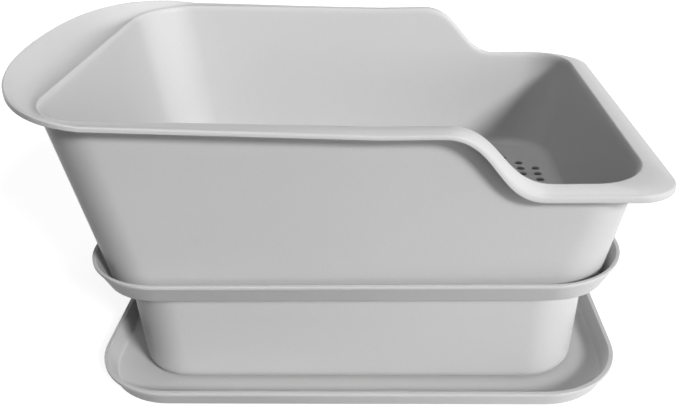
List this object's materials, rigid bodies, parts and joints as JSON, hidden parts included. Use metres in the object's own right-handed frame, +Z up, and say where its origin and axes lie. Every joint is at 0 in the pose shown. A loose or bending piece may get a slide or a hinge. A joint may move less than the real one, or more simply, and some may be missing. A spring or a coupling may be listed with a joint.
{
  "type": "sifting litter box",
  "caption": "Litter box of three stacked plastic mouldings: a deep tub with a perforated floor, low entry and handle lip, over a catch pan in a base tray.",
  "frame": {"origin": "middle of the base tray's flat underside", "axes": "+X towards the low entry end, away from the handle lip; +Y across the width; +Z up out of the tub"},
  "size_m": [0.5466, 0.3858, 0.2894],
  "materials": {
    "grey_plastic": "fine satin moulded polypropylene"
  },
  "bodies": {
    "tray": {"base_tray": "grey_plastic"},
    "pan": {"catch_pan": "grey_plastic"},
    "tub": {"sifting_tub": "grey_plastic"}
  },
  "joints": [
    {"name": "pan_lift", "type": "slide", "parent": "tray", "child": "pan", "axis": [0, 0, 1], "range_m": [0, 0.12]},
    {"name": "tub_lift", "type": "slide", "parent": "pan", "child": "tub", "axis": [0, 0, 1], "range_m": [0, 0.15]}
  ]
}
